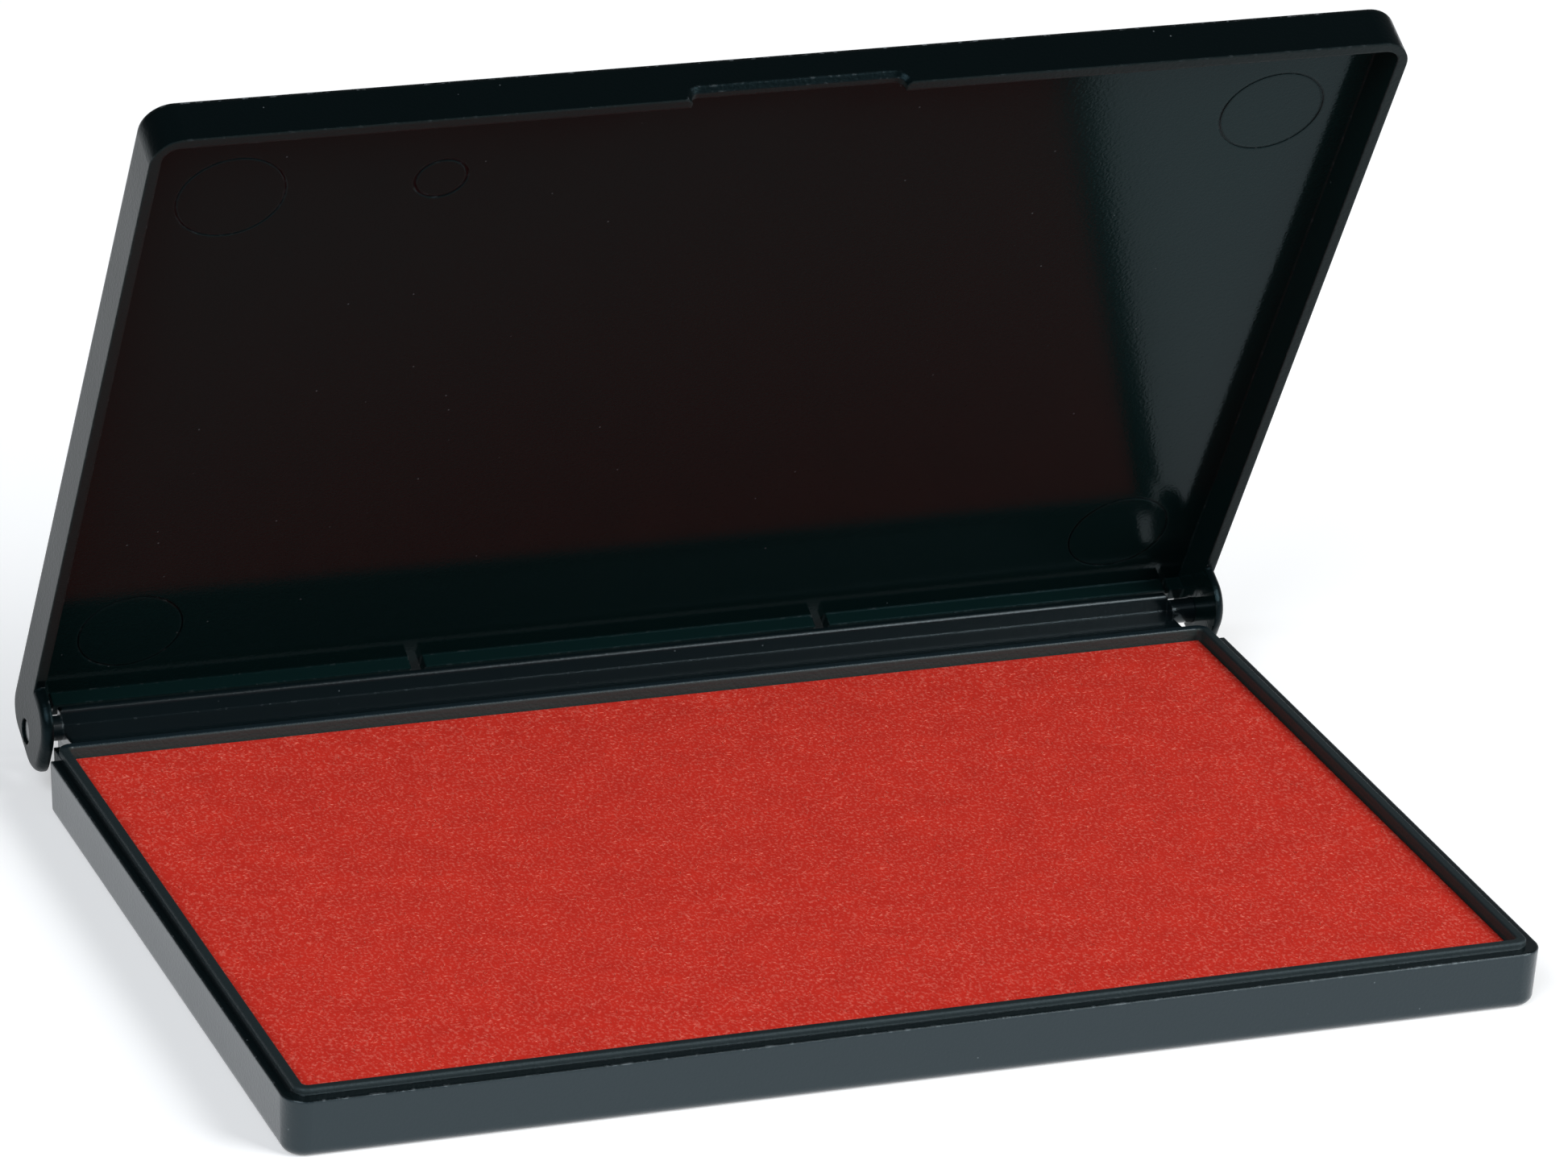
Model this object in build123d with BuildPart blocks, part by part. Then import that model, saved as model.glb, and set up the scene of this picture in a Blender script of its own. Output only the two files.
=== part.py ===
from build123d import *
from math import cos, hypot, radians, sin
import os

# A hinged stamp pad: a shallow moulded tray holds an inked felt under a cover cloth, and a shallow
# moulded lid swings on two studs at the tray's rear corners. The origin is the centre of the tray's
# underside, below the middle of the pad, +X runs along the pad, +Y towards the hinge and +Z up.

# The pad's well and the lip around it
pad_length = 110.0
pad_width = 70.0
pad_corner_radius = 0.5
pad_recess = 0.95
lip_width = 0.9
lip_rise = 0.6
lip_corner_radius = 1.2
lip_edge_radius = 0.2

# The tray's walls
wall_height = 5.35
ledge_width = 1.1
floor_thickness = 1.2
tray_corner_radius = 2.2
tray_draft = 2.5
tray_edge_radius = 0.9
rim_edge_radius = 0.2

# The deck behind the pad, with a low rail along its rear edge, cored out from below between ribs
hinge_setback = 5.6
rear_wall_lag = 1.3
rail_height = 1.6
rail_thickness = 1.0
rail_edge_radius = 0.35
deck_step = 0.8
deck_end_gap = 2.3
deck_thickness = 1.2
core_front_wall = 1.2
core_rear_wall = 1.5
core_end_wall = 2.4
core_count = 6
core_rib = 1.2

# The felt and its cover cloth
pad_clearance = 0.1
cloth_thickness = 0.5
cloth_edge_radius = 0.35
felt_clearance = 0.05

# The lid's shell, and the angle at which it stands open
lid_overhang = 0.4
lid_height = 4.7
lid_wall = 1.0
lid_panel = 1.2
lid_corner_radius = 2.9
lid_edge_radius = 0.8
lid_draft = 3.0
lid_inside_radius = 1.5
closing_gap = 0.1
lid_opening = 62.2

# The low rib across the lid's rear, cut by two vents and, near its ends, by two slits
rib_lead = 0.55
rib_thickness = 1.4
rib_depth = 1.45
vent_spacing = 39.5
vent_width = 1.4
slit_inset = 1.8
slit_width = 0.5

# The finger notch in the lid's front rim, bevelled outside for the fingertip
notch_width = 19.6
notch_depth = 1.05
notch_corner_radius = 0.9
notch_bevel = 0.4

# The ears, measured from the pivot line, and the studs that they turn on
ear_front = 6.0
ear_rear = 2.3
ear_drop = 4.6
ear_corner_radius = 3.2
ear_top_radius = 2.8
ear_front_gap = 0.4
ear_clearance = 0.5
stud_radius = 1.15
stud_clearance = 0.05
stud_recess = 0.2
stud_chamfer = 0.2

# The fine rings that the mould's ejector pins and its insert leave inside the lid
mark_radius = 4.9
mark_ring = 0.15
mark_depth = 0.06
mark_spacing_x = 96.0
mark_spacing_y = 58.0
mark_setback = 37.4
insert_radius = 2.45
insert_ring = 0.25
insert_offset = 29.3
insert_setback = 66.6

# Places in the shared frame that follow from these sizes
lip_top = wall_height + lip_rise
lip_half_length = pad_length / 2 + lip_width
lip_half_width = pad_width / 2 + lip_width
tray_half_length = lip_half_length + ledge_width
tray_front = -(lip_half_width + ledge_width)
hinge_y = pad_width / 2 + hinge_setback
hinge_z = wall_height
rear_face = hinge_y + rear_wall_lag
ear_reach = hypot(ear_front - ear_corner_radius, ear_drop - ear_corner_radius) + ear_corner_radius
tray_wall_end = hinge_y - ear_reach - ear_front_gap
lid_half_length = tray_half_length + lid_overhang
ear_inner = lid_half_length - lid_wall
body_half_length = ear_inner - ear_clearance
body_end = lip_half_width + deck_step
deck_half_length = ear_inner - deck_end_gap
stud_end = lid_half_length - stud_recess
core_front = pad_width / 2 + core_front_wall
core_rear = rear_face - core_rear_wall
core_pitch = 2 * (deck_half_length - core_end_wall) / core_count
pad_top = lip_top - pad_recess
cloth_length = pad_length - 2 * pad_clearance
cloth_width = pad_width - 2 * pad_clearance
felt_length = cloth_length - 2 * (cloth_thickness + felt_clearance)
felt_width = cloth_width - 2 * (cloth_thickness + felt_clearance)
felt_top = pad_top - cloth_thickness

# The lid's own frame stands on the pivot line: x along it, y from the lid's front to its rear, z from
# its rim to its panel. It is tilted by the angle at which the lid stands open.
lid_up = (0, sin(radians(lid_opening)), cos(radians(lid_opening)))
lid_back = (0, cos(radians(lid_opening)), -sin(radians(lid_opening)))
lid_frame = Plane(origin=(0, hinge_y, hinge_z), x_dir=(1, 0, 0), z_dir=lid_up)
lid_side = Plane(origin=(0, hinge_y, hinge_z), x_dir=lid_back, z_dir=(1, 0, 0))
lid_height_axis = Axis((0, hinge_y, hinge_z), lid_up)

# Places in the lid's frame
lid_front = tray_front - lid_overhang - hinge_y
lid_rim = closing_gap
lid_top = lid_rim + lid_height
inside_front = lid_front + lid_wall
inside_top = lid_top - lid_panel
rib_middle = rib_thickness / 2 - rib_lead
notch_top_length = notch_width - 2 * notch_corner_radius

os.makedirs("parts", exist_ok=True)

# The tray: walls that lean in towards the table, a raised lip round the pad, and the deck for the hinge
with BuildPart() as base_tray:
    with BuildSketch(Plane.XY.offset(wall_height)):
        with Locations((0, (tray_front + tray_wall_end) / 2)):
            Rectangle(2 * tray_half_length, tray_wall_end - tray_front)
        with Locations((0, (tray_front + body_end) / 2)):
            Rectangle(2 * body_half_length, body_end - tray_front)
        with Locations((0, (tray_front + rear_face) / 2)):
            Rectangle(2 * deck_half_length, rear_face - tray_front)
        fillet(vertices().group_by(Axis.Y)[0], tray_corner_radius)
    extrude(amount=-wall_height, taper=tray_draft)
    fillet(faces().sort_by(Axis.Z)[0].edges(), tray_edge_radius)
    fillet(faces().sort_by(Axis.Z)[-1].edges().sort_by(Axis.Y)[:-1], rim_edge_radius)

    # The lip, and the well that the pad sits in
    with BuildSketch(Plane.XY.offset(wall_height)):
        RectangleRounded(2 * lip_half_length, 2 * lip_half_width, lip_corner_radius)
    extrude(amount=lip_rise)
    with BuildSketch(Plane.XY.offset(lip_top)):
        RectangleRounded(pad_length, pad_width, pad_corner_radius)
    extrude(amount=floor_thickness - lip_top, mode=Mode.SUBTRACT)
    fillet(faces().sort_by(Axis.Z)[-1].edges(), lip_edge_radius)

    # The cores under the deck keep its walls as thin as the rest of the moulding
    with BuildSketch(Plane.XY):
        with Locations((0, (core_front + core_rear) / 2)):
            with GridLocations(core_pitch, 0, core_count, 1):
                Rectangle(core_pitch - core_rib, core_rear - core_front)
    extrude(amount=wall_height - deck_thickness, mode=Mode.SUBTRACT)

    # The rail closes the slot under the lid's rib, and stays clear of the rib as the lid swings
    with BuildSketch(Plane.XY.offset(wall_height)):
        with Locations((0, rear_face - rail_thickness / 2)):
            Rectangle(2 * deck_half_length, rail_thickness)
    extrude(amount=rail_height)
    fillet(faces().sort_by(Axis.Z)[-1].edges(), rail_edge_radius)

    # A stud on each end of the deck
    for side in (-1, 1):
        with BuildSketch(Plane.YZ.offset(side * deck_half_length)):
            with Locations((hinge_y, hinge_z)):
                Circle(stud_radius)
        extrude(amount=side * (stud_end - deck_half_length))
    chamfer(edges().group_by(Axis.X)[0], stud_chamfer)
    chamfer(edges().group_by(Axis.X)[-1], stud_chamfer)

# The felt fills the well under the cloth
with BuildPart() as felt_core:
    with BuildSketch(Plane.XY.offset(floor_thickness)):
        Rectangle(felt_length, felt_width)
    extrude(amount=felt_top - floor_thickness)

# The cloth lies over the felt and turns down beside it to the floor of the well
with BuildPart() as cover_cloth:
    with BuildSketch(Plane.XY.offset(floor_thickness)):
        RectangleRounded(cloth_length, cloth_width, pad_corner_radius)
    extrude(amount=pad_top - floor_thickness)
    fillet(faces().sort_by(Axis.Z)[-1].edges(), cloth_edge_radius)
    with BuildSketch(Plane.XY.offset(floor_thickness)):
        Rectangle(felt_length + 2 * felt_clearance, felt_width + 2 * felt_clearance)
    extrude(amount=felt_top - floor_thickness, mode=Mode.SUBTRACT)

# The lid: a shallow shell whose side walls drop into two round ears at the rear
with BuildPart() as lid:
    with BuildSketch(lid_frame.offset(lid_rim)):
        with Locations((0, (lid_front + ear_rear) / 2)):
            Rectangle(2 * lid_half_length, ear_rear - lid_front)
        fillet(vertices().group_by(Axis.Y)[0], lid_corner_radius)
    extrude(amount=lid_height)
    top_edges = edges().group_by(lid_height_axis)[-1]
    fillet(top_edges.filter_by(Axis.X).sort_by(Axis.Y)[-1], ear_top_radius)
    for side in (-1, 1):
        with BuildSketch(lid_side.offset(side * ear_inner)):
            with Locations(((ear_rear - ear_front) / 2, (lid_rim - ear_drop) / 2)):
                Rectangle(ear_front + ear_rear, lid_rim + ear_drop)
            fillet(vertices().group_by(Axis.Y)[0], ear_corner_radius)
        extrude(amount=side * lid_wall)

    # The hollow is open at the rear, between the ears, so it is cut well past them
    with BuildSketch(lid_frame.offset(lid_rim)):
        RectangleRounded(2 * ear_inner, -2 * inside_front, lid_inside_radius)
    extrude(amount=inside_top - lid_rim, taper=lid_draft, mode=Mode.SUBTRACT)
    top_sides = edges().filter_by(GeomType.LINE).group_by(lid_height_axis)[-1].sort_by(Axis.X)
    fillet([top_sides[0], top_sides[-1]], lid_edge_radius)

    # The rib, its vents and slits, and the finger notch
    with BuildSketch(lid_frame.offset(inside_top)):
        with Locations((0, rib_middle)):
            Rectangle(2 * ear_inner, rib_thickness)
            with GridLocations(vent_spacing, 0, 2, 1):
                Rectangle(vent_width, rib_thickness, mode=Mode.SUBTRACT)
            with GridLocations(2 * (ear_inner - slit_inset), 0, 2, 1):
                Rectangle(slit_width, rib_thickness, mode=Mode.SUBTRACT)
    extrude(amount=-rib_depth)
    notch_plane = Plane(lid_frame.from_local_coords((0, lid_front, lid_rim)), (1, 0, 0), lid_back)
    with BuildSketch(notch_plane):
        RectangleRounded(notch_width, 2 * notch_depth, notch_corner_radius)
    extrude(amount=2 * lid_wall, mode=Mode.SUBTRACT)
    notch_tops = edges().filter_by(lambda edge: abs(edge.length - notch_top_length) < 0.001)
    chamfer(notch_tops.sort_by(Axis.Y)[0], notch_bevel)

    # The holes that the studs turn in
    with BuildSketch(lid_side):
        Circle(stud_radius + stud_clearance)
    extrude(amount=2 * lid_half_length, both=True, mode=Mode.SUBTRACT)

    # The marks of four ejector pins and of one round insert
    with BuildSketch(lid_frame.offset(inside_top)):
        with Locations((0, -mark_setback)):
            with GridLocations(mark_spacing_x, mark_spacing_y, 2, 2):
                Circle(mark_radius)
                Circle(mark_radius - mark_ring, mode=Mode.SUBTRACT)
        with Locations((-insert_offset, -insert_setback)):
            Circle(insert_radius)
            Circle(insert_radius - insert_ring, mode=Mode.SUBTRACT)
    extrude(amount=mark_depth, mode=Mode.SUBTRACT)

# Each piece goes out under its own name
base_tray.part.label = "base_tray"
felt_core.part.label = "felt_core"
cover_cloth.part.label = "cover_cloth"
lid.part.label = "lid"
export_step(base_tray.part, "parts/base_tray.step")
export_step(felt_core.part, "parts/felt_core.step")
export_step(cover_cloth.part, "parts/cover_cloth.step")
export_step(lid.part, "parts/lid.step")
for piece in (base_tray, felt_core, cover_cloth, lid):
    print(piece.part.label, round(piece.part.volume), "mm3,", len(piece.part.solids()), "solid")
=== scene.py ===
# %% [markdown]
# # A hinged stamp pad, standing open
# The moulded tray and lid come in as finished solids and stay exactly where they are. This lesson gives
# them their moulded plastic, puts real cloth and felt in place of the plain blocks, and sets up the floor,
# the lamps and the camera. Lengths are in metres, +Z is up and +Y runs towards the hinge.

import bpy
import numpy as np
from mathutils import Matrix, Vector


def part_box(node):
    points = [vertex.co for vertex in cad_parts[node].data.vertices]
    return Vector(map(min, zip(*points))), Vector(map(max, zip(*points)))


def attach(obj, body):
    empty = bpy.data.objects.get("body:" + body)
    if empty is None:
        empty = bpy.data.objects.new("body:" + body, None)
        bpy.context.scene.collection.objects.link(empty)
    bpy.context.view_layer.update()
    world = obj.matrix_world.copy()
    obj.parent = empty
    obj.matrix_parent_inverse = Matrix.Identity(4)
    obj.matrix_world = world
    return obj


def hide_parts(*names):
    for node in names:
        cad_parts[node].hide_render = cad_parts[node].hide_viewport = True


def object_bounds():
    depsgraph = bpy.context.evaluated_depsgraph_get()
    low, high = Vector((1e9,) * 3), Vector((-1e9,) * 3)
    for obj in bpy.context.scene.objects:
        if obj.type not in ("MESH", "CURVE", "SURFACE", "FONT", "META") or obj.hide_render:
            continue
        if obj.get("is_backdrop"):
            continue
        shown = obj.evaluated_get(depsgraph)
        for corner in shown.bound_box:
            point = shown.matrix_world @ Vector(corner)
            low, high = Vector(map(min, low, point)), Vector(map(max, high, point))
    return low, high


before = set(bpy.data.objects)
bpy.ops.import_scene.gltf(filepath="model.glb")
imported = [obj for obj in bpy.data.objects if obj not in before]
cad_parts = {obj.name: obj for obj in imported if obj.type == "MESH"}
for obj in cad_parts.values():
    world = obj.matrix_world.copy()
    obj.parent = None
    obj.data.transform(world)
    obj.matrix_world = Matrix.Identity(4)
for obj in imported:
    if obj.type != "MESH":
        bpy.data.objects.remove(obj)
cad_low, cad_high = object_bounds()
mm = 0.001
cad_sides = [round(side / mm, 1) for side in cad_high - cad_low]
print("solids:", sorted(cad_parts), "box", cad_sides, "mm")

# %% [markdown]
# ## The camera
# The pad is seen through a long lens from the front left, a little above it. The angles, the distance and
# the focal length come from matching the edges of pad, tray and lid. Putting the camera's matrix together
# from its own right, up and back directions keeps the small tilt of the frame under control.

# %% Camera
azimuth, elevation, tilt = np.radians([-21.583, 22.846, 2.935])
distance, aim = 726.877 * mm, np.array([-1.026, 0.0, 30.6]) * mm
focal_pixels, frame_pixels = 10396.6, 1946
sensor = 36.0  # Blender counts sensors and lenses in millimetres.

back = np.array([
    np.sin(azimuth) * np.cos(elevation),
    -np.cos(azimuth) * np.cos(elevation),
    np.sin(elevation)])
level = np.array([np.cos(azimuth), np.sin(azimuth), 0.0])
rise = np.cross(back, level)
right = level * np.cos(tilt) + rise * np.sin(tilt)
upward = rise * np.cos(tilt) - level * np.sin(tilt)


def placed(x_axis, y_axis, z_axis, place):
    """A 4 by 4 matrix whose columns are an object's three axes and its place."""
    return Matrix(np.vstack([np.column_stack([x_axis, y_axis, z_axis, place]), [0, 0, 0, 1]]))


lens = bpy.data.cameras.new("long_lens")
lens.sensor_width = sensor
lens.lens = focal_pixels / frame_pixels * sensor
lens.clip_start, lens.clip_end = 0.05, 50.0
camera = bpy.data.objects.new("camera", lens)
camera.matrix_world = placed(right, upward, back, aim + back * distance)
bpy.context.scene.collection.objects.link(camera)
bpy.context.scene.camera = camera
print("lens", round(lens.lens, 1), "mm at", round(distance, 3), "m")

# %% [markdown]
# ## Colours and nodes
# Two small helpers serve every finish. Colours are written as sRGB hex, as a paint program shows them, and
# turned to linear light, because shaders add and multiply light. The other helper adds one node with its
# settings and links, so that a material reads as a list of what it is made of. Sockets are given by name, or
# by number where a node has several of one name: in Mix, 2 and 3 are two numbers, and 6 and 7 two colours.

# %% Helpers for colour and nodes
def linear(hex_colour):
    """sRGB to linear light: c / 12.92 for dark values, otherwise ((c + 0.055) / 1.055) to the power 2.4."""
    c = np.array([int(hex_colour[i:i + 2], 16) for i in (1, 3, 5)]) / 255
    c = np.where(c <= 0.04045, c / 12.92, ((c + 0.055) / 1.055) ** 2.4)
    return (*c.tolist(), 1.0)


def add(tree, kind, sockets=None, **settings):
    """Adds one node. Each socket gets a number or a colour, or the output of another node."""
    made = tree.nodes.new(kind)
    for name, value in settings.items():
        setattr(made, name, value)
    for name, value in (sockets or {}).items():
        if isinstance(value, bpy.types.NodeSocket):
            tree.links.new(value, made.inputs[name])
        else:
            made.inputs[name].default_value = value
    return made


def material(name):
    """An empty material, its node tree, and the piece's own coordinates in it."""
    made = bpy.data.materials.new(name)
    made.use_nodes = True
    made.node_tree.nodes.clear()
    return made, made.node_tree, add(made.node_tree, "ShaderNodeTexCoord").outputs["Object"]


def show(tree, shader):
    """Sends a shader to the material's output."""
    add(tree, "ShaderNodeOutputMaterial", {"Surface": shader.outputs[0]})


# %% [markdown]
# ## Floor, sky and lamps
# The object stands on white paper that fills the frame. The paper keeps the soft shadow. For the lens and
# for mirror reflections it also glows, so that it comes out white without more light on the object. Two wide
# soft boxes stand in front, to the right and the left, and the dim sky leaves faces turned upwards black.
# The left box is a little cooler than the right one, as window light is.

# %% Floor
paper, tree, _ = material("white_paper")
matt = add(tree, "ShaderNodeBsdfPrincipled", {"Base Color": linear("#F4F5F5"), "Roughness": 0.9})
shadow = add(tree, "ShaderNodeBsdfDiffuse", {"Color": linear("#ECEDEE")})
glow = add(tree, "ShaderNodeEmission", {"Color": linear("#FFFFFF"), "Strength": 0.37})
white = add(tree, "ShaderNodeAddShader", {0: shadow.outputs[0], 1: glow.outputs[0]})
ray = add(tree, "ShaderNodeLightPath")
mirrored = add(tree, "ShaderNodeMath", {0: ray.outputs["Is Camera Ray"], 1: ray.outputs["Is Glossy Ray"]},
               operation="MAXIMUM")
direct = add(tree, "ShaderNodeMath", {0: mirrored.outputs[0], 1: ray.outputs["Is Transmission Ray"]},
             operation="MAXIMUM")
show(tree, add(tree, "ShaderNodeMixShader", {0: direct.outputs[0], 1: matt.outputs[0], 2: white.outputs[0]}))

reach = 4.0
corners = [(-reach, -reach, 0), (reach, -reach, 0), (reach, reach, 0), (-reach, reach, 0)]
floor_mesh = bpy.data.meshes.new("floor")
floor_mesh.from_pydata(corners, [], [(0, 1, 2, 3)])
floor_mesh.materials.append(paper)
floor = bpy.data.objects.new("floor", floor_mesh)
bpy.context.scene.collection.objects.link(floor)
floor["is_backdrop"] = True
print("floor", 2 * reach, "m wide")

# %% Sky and lamps
sky = bpy.data.worlds.new("studio")
bpy.context.scene.world = sky
sky.use_nodes = True
dim = sky.node_tree.nodes["Background"].inputs
dim["Color"].default_value, dim["Strength"].default_value = linear("#EEF4F8"), 0.14


def soft_box(name, place, size, watts, colour):
    """A square lamp at a place, turned to face the object."""
    lamp = bpy.data.lights.new(name, "AREA")
    lamp.size, lamp.energy, lamp.color = size, watts, linear(colour)[:3]
    made = bpy.data.objects.new(name, lamp)
    away = np.array(place) / np.linalg.norm(place)
    side = np.cross([0.0, 0.0, 1.0], away)
    side = side / np.linalg.norm(side)
    made.matrix_world = placed(side, np.cross(away, side), away, place)
    bpy.context.scene.collection.objects.link(made)
    print(name, watts, "W,", size, "m wide")


box_width = 1.20
soft_box("right_box", (1.30, -1.25, 1.20), box_width, 44.0, "#FFFFFF")
soft_box("left_box", (-1.20, -1.00, 1.35), box_width, 22.5, "#F5F9FF")
bpy.context.scene.view_settings.view_transform = "Standard"

# %% [markdown]
# ## Black polystyrene
# Tray and lid are injection-moulded in polystyrene, and its carbon black has a cool, blue-green cast. The
# mould is finely etched, which leaves most faces satin, and polished in places, which leaves those like dark
# mirrors. Use then rubs some faces matt. One function makes all of these: satin everywhere, and then zones,
# each with its own mask, colour and gloss. The skin is the smooth layer that froze first against the mould.
# It adds a soft second highlight.

# %% Moulded plastic
satin, wear_in_zones = 0.30, 0.3
patch, etch_width, etch_depth = 12 * mm, 0.3 * mm, 0.08 * mm
edge_radius, dust_spacing, rub_width = 0.3 * mm, 2.6 * mm, 0.6 * mm


def moulded_black(name, colour, zones, rim, specular, tint, skin):
    """Black polystyrene, satin all over, except in zones: mask, colour, roughness and weight of the skin.

    The rim is the mask of the outer edge that fingers rub.
    """
    made, tree, place = material(name)
    black, gloss, touched, coat = linear(colour), satin, 1.0, skin
    for mask, zone_colour, zone_gloss, zone_skin in zones:
        here = mask(tree, place)
        black = add(tree, "ShaderNodeMix", {"Factor": here, 6: black, 7: linear(zone_colour)},
                    data_type="RGBA").outputs[2]
        gloss = add(tree, "ShaderNodeMix", {"Factor": here, 2: gloss, 3: zone_gloss}).outputs[0]
        touched = add(tree, "ShaderNodeMix", {"Factor": here, 2: touched, 3: wear_in_zones}).outputs[0]
        if zone_skin != skin:
            coat = add(tree, "ShaderNodeMix", {"Factor": here, 2: coat, 3: zone_skin}).outputs[0]
    # The gloss drifts by a twentieth from patch to patch, as the melt cooled unevenly.
    patches = add(tree, "ShaderNodeTexNoise", {"Vector": place, "Scale": 1 / patch, "Detail": 1.0})
    drift = add(tree, "ShaderNodeMapRange", {"Value": patches.outputs[0], "From Min": 0.3, "From Max": 0.7,
                                             "To Min": 0.95, "To Max": 1.05})
    roughness = add(tree, "ShaderNodeMath", {0: gloss, 1: drift.outputs[0]}, operation="MULTIPLY")
    # The etching is about 0.1 mm wide on a real moulding. It is drawn at 0.3 mm, so that it shows.
    etching = add(tree, "ShaderNodeTexNoise", {"Vector": place, "Scale": 1 / etch_width, "Detail": 2.0})
    relief = add(tree, "ShaderNodeMath", {0: etching.outputs[0], 1: gloss}, operation="MULTIPLY")
    # Moulded edges are never sharp, so the normal is rounded off near them.
    edge = add(tree, "ShaderNodeBevel", {"Radius": edge_radius}, samples=4)
    grain = add(tree, "ShaderNodeBump", {"Height": relief.outputs[0], "Strength": 1.0, "Distance": etch_depth,
                                         "Normal": edge.outputs[0]})
    # A few specks of pale dust, about 0.15 mm across.
    dust = add(tree, "ShaderNodeTexVoronoi", {"Vector": place, "Scale": 1 / dust_spacing})
    speck = add(tree, "ShaderNodeMapRange", {"Value": dust.outputs["Distance"], "From Min": 0.022,
                                             "From Max": 0.034, "To Min": 0.5, "To Max": 0.0})
    # Handling rubs the rim and the sharp edges pale here and there, and the zones less. An edge is where
    # the rounded normal leaves the normal of the face.
    face = add(tree, "ShaderNodeNewGeometry")
    apart = add(tree, "ShaderNodeVectorMath", {0: edge.outputs[0], 1: face.outputs["Normal"]},
                operation="DOT_PRODUCT")
    near = add(tree, "ShaderNodeMapRange", {"Value": apart.outputs["Value"], "From Min": 0.97,
                                            "From Max": 0.85})
    handled = add(tree, "ShaderNodeTexNoise", {"Vector": place, "Scale": 1 / rub_width, "Detail": 4.0})
    rubbed = add(tree, "ShaderNodeMapRange", {"Value": handled.outputs[0], "From Min": 0.56, "From Max": 0.68,
                                              "To Max": 0.65})
    exposed = add(tree, "ShaderNodeMath", {0: near.outputs[0], 1: rim(tree, place)}, operation="MAXIMUM")
    reached = add(tree, "ShaderNodeMath", {0: exposed.outputs[0], 1: touched}, operation="MULTIPLY")
    worn = add(tree, "ShaderNodeMath", {0: reached.outputs[0], 1: rubbed.outputs[0]}, operation="MULTIPLY")
    pale = add(tree, "ShaderNodeMath", {0: worn.outputs[0], 1: speck.outputs[0]}, operation="MAXIMUM")
    dusted = add(tree, "ShaderNodeMix", {"Factor": pale.outputs[0], 6: black, 7: linear("#6A7276")},
                 data_type="RGBA")
    # Polystyrene bends light by 1.59.
    show(tree, add(tree, "ShaderNodeBsdfPrincipled", {
        "Base Color": dusted.outputs[2], "Roughness": roughness.outputs[0], "Normal": grain.outputs[0],
        "IOR": 1.59, "Specular IOR Level": specular, "Specular Tint": linear(tint),
        "Coat Weight": coat, "Coat Roughness": 0.25, "Coat IOR": 1.35}))
    return made


def dress(node, finish):
    """Puts one finish on a moulded solid."""
    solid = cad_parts[node]
    solid.data.materials.clear()
    solid.data.materials.append(finish)
    print(node, "in", finish.name)


# %% [markdown]
# ## The tray and its zones
# The tray's walls are satin. The ledge and the deck were polished in the mould and lie in the lid's shade, and
# above that their colour is painted near black: painted shade. The lip round the pad is painted a lighter grey,
# which stands in for the light it catches: painted light. Its inner faces are matt and a lighter grey. Each
# zone could be picked face by face, but a block of space is simpler: a face is in the zone if it lies inside
# the block.

# %% Tray
def within(tree, value, lowest, highest):
    """A mask that is 1 where a value is no further from the middle of two limits than half their distance."""
    centre, margin = (lowest + highest) / 2, (highest - lowest) / 2
    return add(tree, "ShaderNodeMath", {0: value, 1: centre, 2: margin}, operation="COMPARE").outputs[0]


def both(tree, first, second):
    """A mask that is 1 where two masks are: their product."""
    return add(tree, "ShaderNodeMath", {0: first, 1: second}, operation="MULTIPLY").outputs[0]


def block(tree, place, x, y, z):
    """A mask that is 1 inside a block, given by its limits in millimetres along the three axes."""
    axis = add(tree, "ShaderNodeSeparateXYZ", {"Vector": place})
    in_x, in_y, in_z = (within(tree, axis.outputs[name], lowest * mm, highest * mm)
                        for name, (lowest, highest) in zip("XYZ", (x, y, z)))
    return both(tree, both(tree, in_x, in_y), in_z)


anywhere = (-100.0, 100.0)


def ledge(tree, place):
    """The ledge round the lip, which takes the ends of the lid's walls."""
    return block(tree, place, (-56.95, 56.95), (-36.95, 35.9), (5.28, 5.37))


def lip(tree, place):
    """The top and the outside of the lip on three sides of the pad, where a lighter grey is painted as painted
    light.
    """
    return block(tree, place, (-56.0, 56.0), (-36.0, 34.9), (5.37, 6.2))


def deck(tree, place):
    """The deck between the pad and the hinge, where the lid's rib turns."""
    return block(tree, place, anywhere, (35.95, 41.85), (4.0, 9.0))


def well(tree, place):
    """The lip's inner faces, which the pad's edge has rubbed matt; they are also given a lighter grey."""
    return block(tree, place, (-55.03, 55.03), (-35.03, 35.03), anywhere)


def tray_rim(tree, place):
    """The ledge's outer edge, at the top of the walls."""
    inner = block(tree, place, (-56.8, 56.8), (-36.8, 50.0), anywhere)
    outer = add(tree, "ShaderNodeMath", {0: 1.0, 1: inner}, operation="SUBTRACT").outputs[0]
    return both(tree, outer, block(tree, place, anywhere, anywhere, (5.22, 5.5)))


tray_skin = 0.58
# Painted shade: the near-black colours of the ledge and the deck. Painted light: the lip's lighter grey.
tray_zones = [(ledge, "#0A1113", 0.11, 0.0), (lip, "#1E2628", 0.5, 0.0),
              (deck, "#0C1518", 0.11, tray_skin), (well, "#262E2C", 0.6, tray_skin)]
# The tray's base colour is a lighter grey than the lid's black, though both are one plastic. It is partly the
# plastic's own dark colour and partly painted light, standing in for the bright floor reflected in the walls.
etched = moulded_black("black_polystyrene_etched", "#152025", tray_zones, tray_rim, 0.30, "#DDF6FF", tray_skin)
dress("base_tray", etched)

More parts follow.
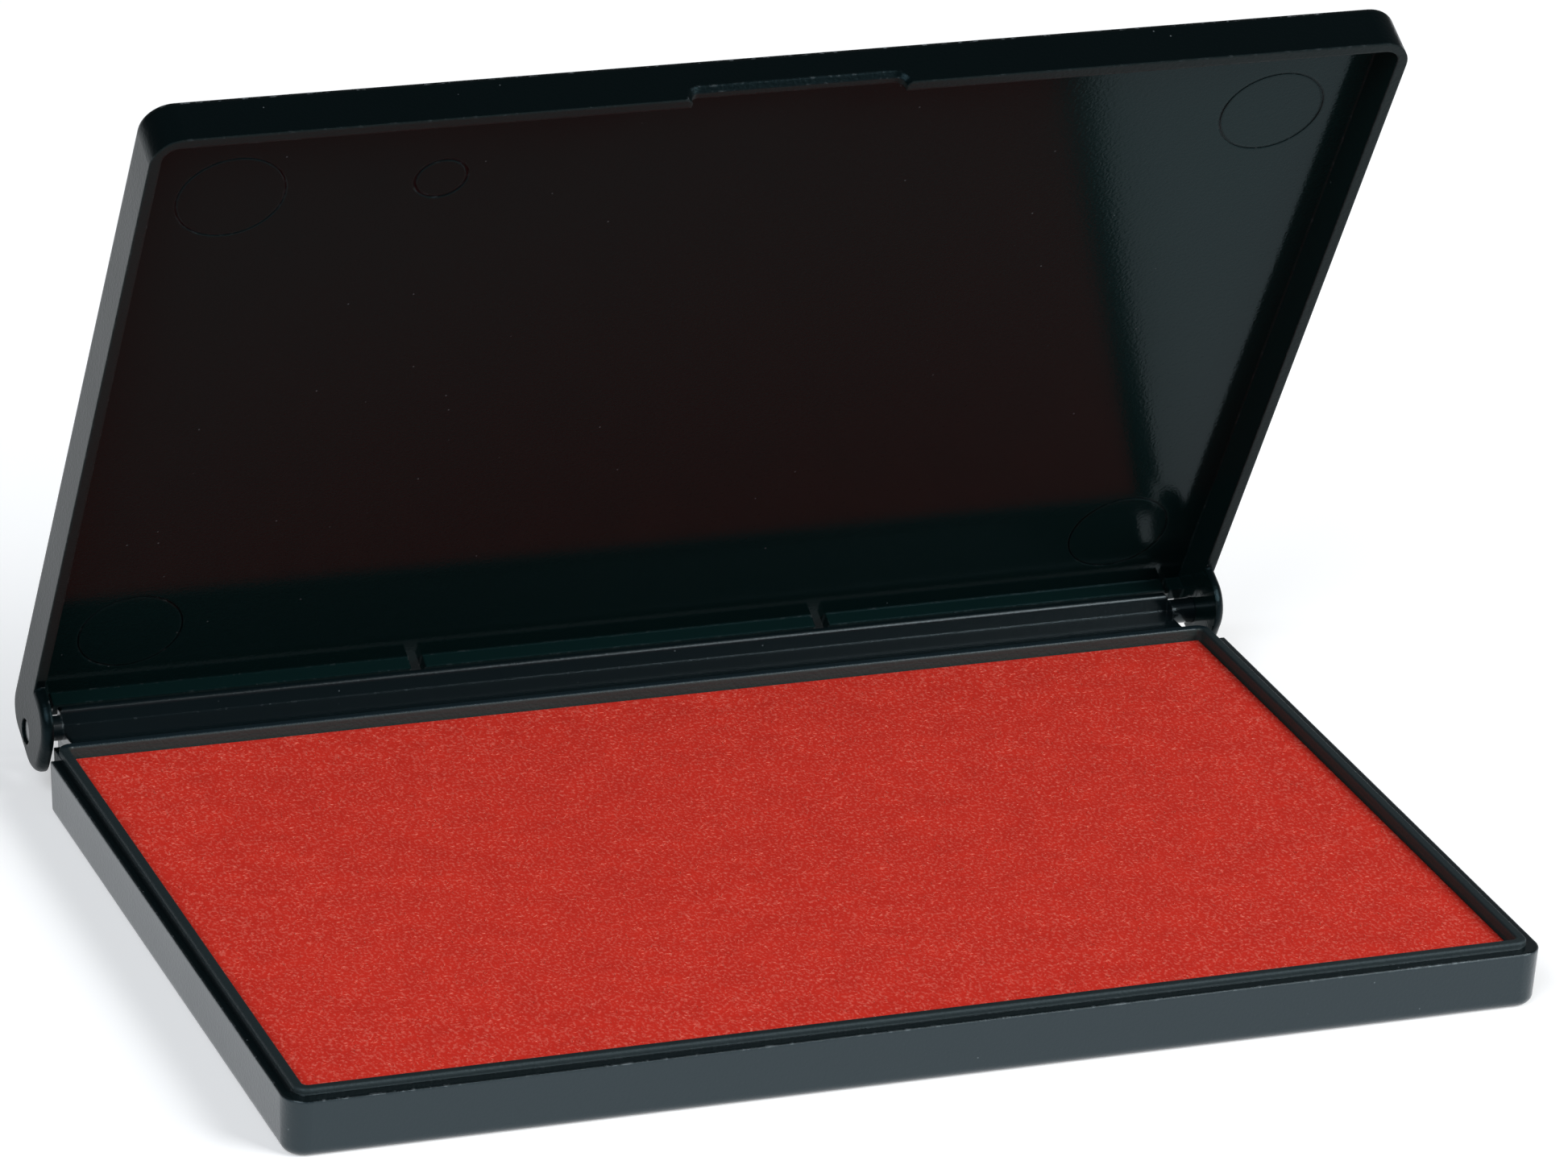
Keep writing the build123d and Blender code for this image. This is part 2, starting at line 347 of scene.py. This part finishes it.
# %% [markdown]
# ## The lid, inside and out
# The core that forms the lid's inside is polished, so the pad mirrors in it. The inside's teal is painted
# light:
# it is there to cancel the red of the mirrored pad. The ends of the lid's walls are rubbed matt by the ledge,
# and the panel's outside is etched like the tray and takes the tray's lighter grey, painted light there too.
# The lid stands open, so its blocks need its own directions. A Mapping node turns the coordinates by the
# opening angle about the hinge, to where they are on the closed lid.

# %% Lid
hinge = np.array([0.0, 40.6, 5.35]) * mm
opening = np.radians(62.2)
turn_back = np.array([
    [1, 0, 0],
    [0, np.cos(opening), -np.sin(opening)],
    [0, np.sin(opening), np.cos(opening)]])


def as_closed(tree, place):
    """Places on the open lid, turned back about the hinge to where they are on the closed one."""
    return add(tree, "ShaderNodeMapping", {"Vector": place, "Location": -turn_back @ hinge,
                                           "Rotation": (opening, 0.0, 0.0)}).outputs[0]


def lid_inside(tree, place):
    """The lid's inside: under the panel, between the side walls and behind the front wall."""
    return block(tree, as_closed(tree, place), (-56.43, 56.43), (-77.03, 10.0), (-10.0, 3.65))


def lid_end(tree, place):
    """The ends of the lid's walls, which come down on the ledge and are rubbed matt."""
    return block(tree, as_closed(tree, place), anywhere, (-90.0, -7.0), (-0.1, 0.2))


def notch_end(tree, place):
    """The end of the front wall in the finger notch, and the wall's inner face there."""
    return block(tree, as_closed(tree, place), (-9.8, 9.8), (-77.55, -76.9), (0.2, 1.3))


def lid_panel(tree, place):
    """The flat outer face of the lid's panel, etched like the tray and given the tray's lighter grey as painted
    light.
    """
    return block(tree, as_closed(tree, place), (-56.6, 56.6), (-77.2, 10.0), (4.7, 5.0))


def lid_rim(tree, place):
    """The edge between the lid's front wall and its panel, where it is lifted."""
    return block(tree, as_closed(tree, place), anywhere, (-90.0, -77.4), (4.2, 4.6))


lid_skin = 0.0
# Painted light: the inside's teal, which cancels the red of the pad mirrored in it, and the panel's lighter
# grey, which keeps it from pure black in dim light.
lid_zones = [(lid_inside, "#081919", 0.11, lid_skin), (lid_end, "#131817", 0.5, lid_skin),
             (notch_end, "#131817", 0.5, lid_skin), (lid_panel, "#152025", satin, tray_skin)]
polished = moulded_black("black_polystyrene_polished", "#030809", lid_zones, lid_rim, 0.10, "#B8EEFF", lid_skin)
dress("lid", polished)

# %% [markdown]
# ## The inked cloth
# The red pad is a close polyester cloth, soaked with ink and stretched over felt. Ink soaks it unevenly, in
# soft clouds, and only the tips of a few fibres stay pale. It is matt, so nearly all of its look is colour:
# two reds for the clouds and a paler one for the tips, drawn out a little along the way the cloth is brushed.

# %% Inked cloth
cloud, tuft, tuft_height = 4 * mm, 0.25 * mm, 0.06 * mm


def inked_cloth(name, deep, light, tips, share):
    """Cloth whose ink drifts between two reds in clouds. Where fine noise is high, a share of it is pale."""
    made, tree, place = material(name)
    clouds = add(tree, "ShaderNodeTexNoise", {"Vector": place, "Scale": 1 / cloud, "Detail": 5.0,
                                              "Roughness": 0.65})
    spread = add(tree, "ShaderNodeMapRange", {"Value": clouds.outputs[0], "From Min": 0.35, "From Max": 0.65})
    ink = add(tree, "ShaderNodeMix", {"Factor": spread.outputs[0], 6: linear(deep), 7: linear(light)},
              data_type="RGBA")
    along = add(tree, "ShaderNodeMapping", {"Vector": place, "Scale": (1.0, 0.6, 1.0)})
    # Single fibres are 0.02 mm thick. The nap is drawn as tufts of 0.25 mm, so that it shows.
    nap = add(tree, "ShaderNodeTexNoise", {"Vector": along.outputs[0], "Scale": 1 / tuft, "Detail": 2.0})
    pale = add(tree, "ShaderNodeMapRange", {"Value": nap.outputs[0], "From Min": 0.5, "From Max": 0.78,
                                            "To Max": share})
    tipped = add(tree, "ShaderNodeMix", {"Factor": pale.outputs[0], 6: ink.outputs[2], 7: linear(tips)},
                 data_type="RGBA")
    relief = add(tree, "ShaderNodeBump", {"Height": nap.outputs[0], "Strength": 0.5, "Distance": tuft_height})
    show(tree, add(tree, "ShaderNodeBsdfPrincipled", {
        "Base Color": tipped.outputs[2], "Roughness": 0.8, "Normal": relief.outputs[0], "IOR": 1.45,
        "Specular IOR Level": 0.15}))
    return made


soaked = inked_cloth("inked_polyester_cloth", "#BF291E", "#C92D20", "#E27263", 0.7)
print("cloth in", soaked.name)

# %% [markdown]
# ## From arrays to meshes
# Every new piece is a grid of points worked out with numpy. Two helpers turn such a grid into a mesh: one
# numbers the faces between its rows and columns, and one makes the object and ties it to the tray. A third
# makes soft random bumps, so that nothing is as flat as a drawing.

# %% Helpers for surfaces
def grid_faces(rows, columns, around=False):
    """Four-sided faces of a grid stored row by row: each joins (r, c), (r, c+1), (r+1, c+1) and (r+1, c)."""
    r, c = np.meshgrid(np.arange(rows - 1), np.arange(columns if around else columns - 1), indexing="ij")
    d = (c + 1) % columns
    here, above = r * columns, (r + 1) * columns
    return np.stack([here + c, here + d, above + d, above + c], -1).reshape(-1, 4)


def smooth_piece(name, points, faces, finish):
    """A smooth mesh of points and faces that rides on the tray."""
    mesh = bpy.data.meshes.new(name)
    mesh.from_pydata(points.tolist(), [], faces)
    mesh.polygons.foreach_set("use_smooth", np.ones(len(mesh.polygons), bool))
    mesh.materials.append(finish)
    made = bpy.data.objects.new(name, mesh)
    bpy.context.scene.collection.objects.link(made)
    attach(made, "base")
    print(name, len(points), "points,", len(faces), "faces")
    return made


def smoothed(values, blur):
    """Random values blurred by a bell curve in frequency space, then scaled to a spread of 1."""
    fy, fx = np.meshgrid(np.fft.fftfreq(values.shape[0]), np.fft.fftfreq(values.shape[1]), indexing="ij")
    soft = np.fft.ifft2(np.fft.fft2(values) * np.exp(-2 * (np.pi * blur) ** 2 * (fx ** 2 + fy ** 2))).real
    return soft / soft.std()


# %% [markdown]
# ## The cloth's shape
# The cloth is pulled tight over the felt, with its edges turned down inside the tray. A cloth simulation
# could find that shape, but a tight cloth on a flat block is plain enough to work out directly: a fine grid
# for the slightly crowned top, and an edge profile carried round its border, a quarter turn and then down.

# %% Cover cloth
low, high = (np.array(corner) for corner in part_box("cover_cloth"))
half = high[:2]
bottom, pad_top, turn, crown = low[2], high[2], 0.35 * mm, 0.10 * mm
rows, columns, steps = 150, 236, 5
nap_mm, nap_blur, swell_mm, swell_blur = 0.012, 1.2, 0.02, 14
chance = np.random.default_rng(7)

# The top: a crown that falls off with the fourth power towards each side, and bumps that fade at the border.
x, y = np.meshgrid(np.linspace(-1, 1, columns), np.linspace(-1, 1, rows))
nap = (nap_mm * smoothed(chance.normal(size=x.shape), nap_blur)
       + swell_mm * smoothed(chance.normal(size=x.shape), swell_blur))
inner = np.clip((1 - np.maximum(abs(x), abs(y))) * 12, 0, 1)
rest = pad_top - crown
height = rest + crown * (1 - x ** 4) * (1 - y ** 4) + nap * inner * mm
top = np.stack([x * (half[0] - turn), y * (half[1] - turn), height], -1).reshape(-1, 3)

# The skirt: each point of the border goes out by the sine and down by the cosine of the turn.
number = np.arange(rows * columns).reshape(rows, columns)
border = np.concatenate([number[0, :-1], number[:-1, -1], number[-1, :0:-1], number[:0:-1, 0]])
outward = np.sign(np.where(abs(top[border, :2]) > half - 1.0001 * turn, top[border, :2], 0))
bend = np.linspace(0, np.pi / 2, steps + 1)[1:]
out_by = turn * np.concatenate([np.sin(bend), np.ones(steps)])
down_to = np.concatenate([rest - turn * (1 - np.cos(bend)),
                          np.linspace(rest - turn, bottom + 0.02 * mm, steps + 1)[1:]])
skirt = np.concatenate([
    top[border, :2] + out_by[:, None, None] * outward,
    np.broadcast_to(down_to[:, None, None], (len(down_to), len(border), 1))], -1).reshape(-1, 3)
ring = np.concatenate([border, len(top) + np.arange(len(skirt))])
skirt_faces = ring[grid_faces(1 + len(down_to), len(border), around=True)][:, ::-1]
cloth = smooth_piece("cover_cloth_stretched", np.concatenate([top, skirt]),
                     np.concatenate([grid_faces(rows, columns), skirt_faces]).tolist(), soaked)
thicken = cloth.modifiers.new("cloth_thickness", "SOLIDIFY")
thicken.thickness, thicken.offset = 0.45 * mm, -1.0
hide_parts("cover_cloth")

# %% [markdown]
# ## Loose fibres on the cloth
# Close up, short pale fibres lie on the pad, mostly along it, because the cloth is brushed that way. Each one
# is a thin three-sided sliver with a slight bow that tapers to both ends. All of them are worked out at once:
# stations along the fibre, times three corners round it, and the same faces repeated for every fibre.

# %% Loose fibres
# Real fibres are about 0.02 mm thick. These are two to four times as thick, so that they show.
count, stations = 12000, 3
lie = chance.uniform(-1, 1, (count, 2)) * 0.985
way = chance.normal(0, 0.9, count)
long, thick = chance.uniform(0.15, 0.6, count) * mm, chance.uniform(0.015, 0.04, count) * mm
bow = chance.normal(0, 0.12, count) * long
row = np.rint((lie[:, 1] + 1) / 2 * (rows - 1)).astype(int)
column = np.rint((lie[:, 0] + 1) / 2 * (columns - 1)).astype(int)
under = height[row, column]

# The spine runs forward and bows sideways as a parabola. The girth is a parabola too.
s = np.linspace(-0.5, 0.5, stations)
forward = np.stack([np.cos(way), np.sin(way)], -1)
sideways = np.stack([-np.sin(way), np.cos(way)], -1)
spine = (lie * (half - turn))[:, None] + (s * long[:, None])[..., None] * forward[:, None]
spine = spine + ((0.25 - s ** 2) * 4 * bow[:, None])[..., None] * sideways[:, None]
girth = thick[:, None] * (1.15 - 4 * s ** 2)
corner = np.radians([90, 210, 330])
across = spine[:, :, None] + (girth[..., None] * np.cos(corner))[..., None] * sideways[:, None, None]
lift = (under + 0.01 * mm)[:, None, None] + girth[..., None] * np.sin(corner)
slivers = np.concatenate([across, lift[..., None]], -1).reshape(-1, 3)

first, last = np.arange(count)[:, None, None] * stations * 3, stations * 3 - 1
sides = (first + grid_faces(stations, 3, around=True)).reshape(-1, 4)
ends = (first + np.array([[0, 1, 2], [last, last - 1, last - 2]])).reshape(-1, 3)
brushed = inked_cloth("inked_polyester_nap", "#D05040", "#DE6E5C", "#EA9484", 0.8)
fibres = smooth_piece("cloth_nap", slivers, sides.tolist() + ends.tolist(), brushed)

# %% [markdown]
# ## The felt
# Under the cloth lies a block of wool felt that holds the ink. Nothing of it shows while the cloth is in
# place, so it is a plain slab: a rounded profile carried round a rectangle with soft corners. Its wool is
# darker than the cloth, and mottled, because it is soaked through.

# %% Felt
felt, tree, place = material("ink_soaked_wool_felt")
wool = add(tree, "ShaderNodeTexNoise", {"Vector": place, "Scale": 1 / (0.6 * mm), "Detail": 5.0})
tone = add(tree, "ShaderNodeMix", {"Factor": wool.outputs[0], 6: linear("#8E1D16"), 7: linear("#B0352A")},
           data_type="RGBA")
matted = add(tree, "ShaderNodeBump", {"Height": wool.outputs[0], "Strength": 0.6, "Distance": 0.1 * mm})
show(tree, add(tree, "ShaderNodeBsdfPrincipled", {"Base Color": tone.outputs[2], "Roughness": 0.85,
                                                  "Normal": matted.outputs[0]}))


def rounded(wave, power):
    """A sine or cosine wave with its sign kept and its size raised to a small power, which squares it off."""
    return np.sign(wave) * abs(wave) ** power


low, high = (np.array(corner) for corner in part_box("felt_core"))
plan_power, side_power = 0.08, 0.25
angle = np.linspace(0, 2 * np.pi, 240, endpoint=False)
profile = np.linspace(-np.pi / 2, np.pi / 2, 17)
level_at = (low[2] + high[2]) / 2 + (high[2] - low[2]) / 2 * rounded(np.sin(profile), side_power)
width = 0.99 + 0.01 * abs(np.cos(profile)) ** 0.1
loops = np.stack([np.outer(width, rounded(np.cos(angle), plan_power) * high[0]),
                  np.outer(width, rounded(np.sin(angle), plan_power) * high[1]),
                  np.outer(level_at, np.ones_like(angle))], -1).reshape(-1, 3)

# Each pole is one point that closes the slab, joined to the nearest loop by a fan of triangles.
poles = np.array([[0, 0, level_at[0]], [0, 0, level_at[-1]]])
turn_round = np.arange(len(angle))
after, last_loop = (turn_round + 1) % len(angle), (len(profile) - 1) * len(angle)
caps = np.concatenate([
    np.stack([np.full(len(angle), len(loops)), after, turn_round], -1),
    np.stack([np.full(len(angle), len(loops) + 1), last_loop + turn_round, last_loop + after], -1)])
slab_faces = grid_faces(len(profile), len(angle), around=True).tolist() + caps.tolist()
slab = smooth_piece("felt_slab", np.concatenate([loops, poles]), slab_faces, felt)
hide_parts("felt_core")

# %% [markdown]
# ## Size and finish
# The box of the finished model is printed, to set beside the box of the solids that came in.

# %% Size and finish
low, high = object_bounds()
print("visual box", [round(side / mm, 1) for side in high - low], "mm")
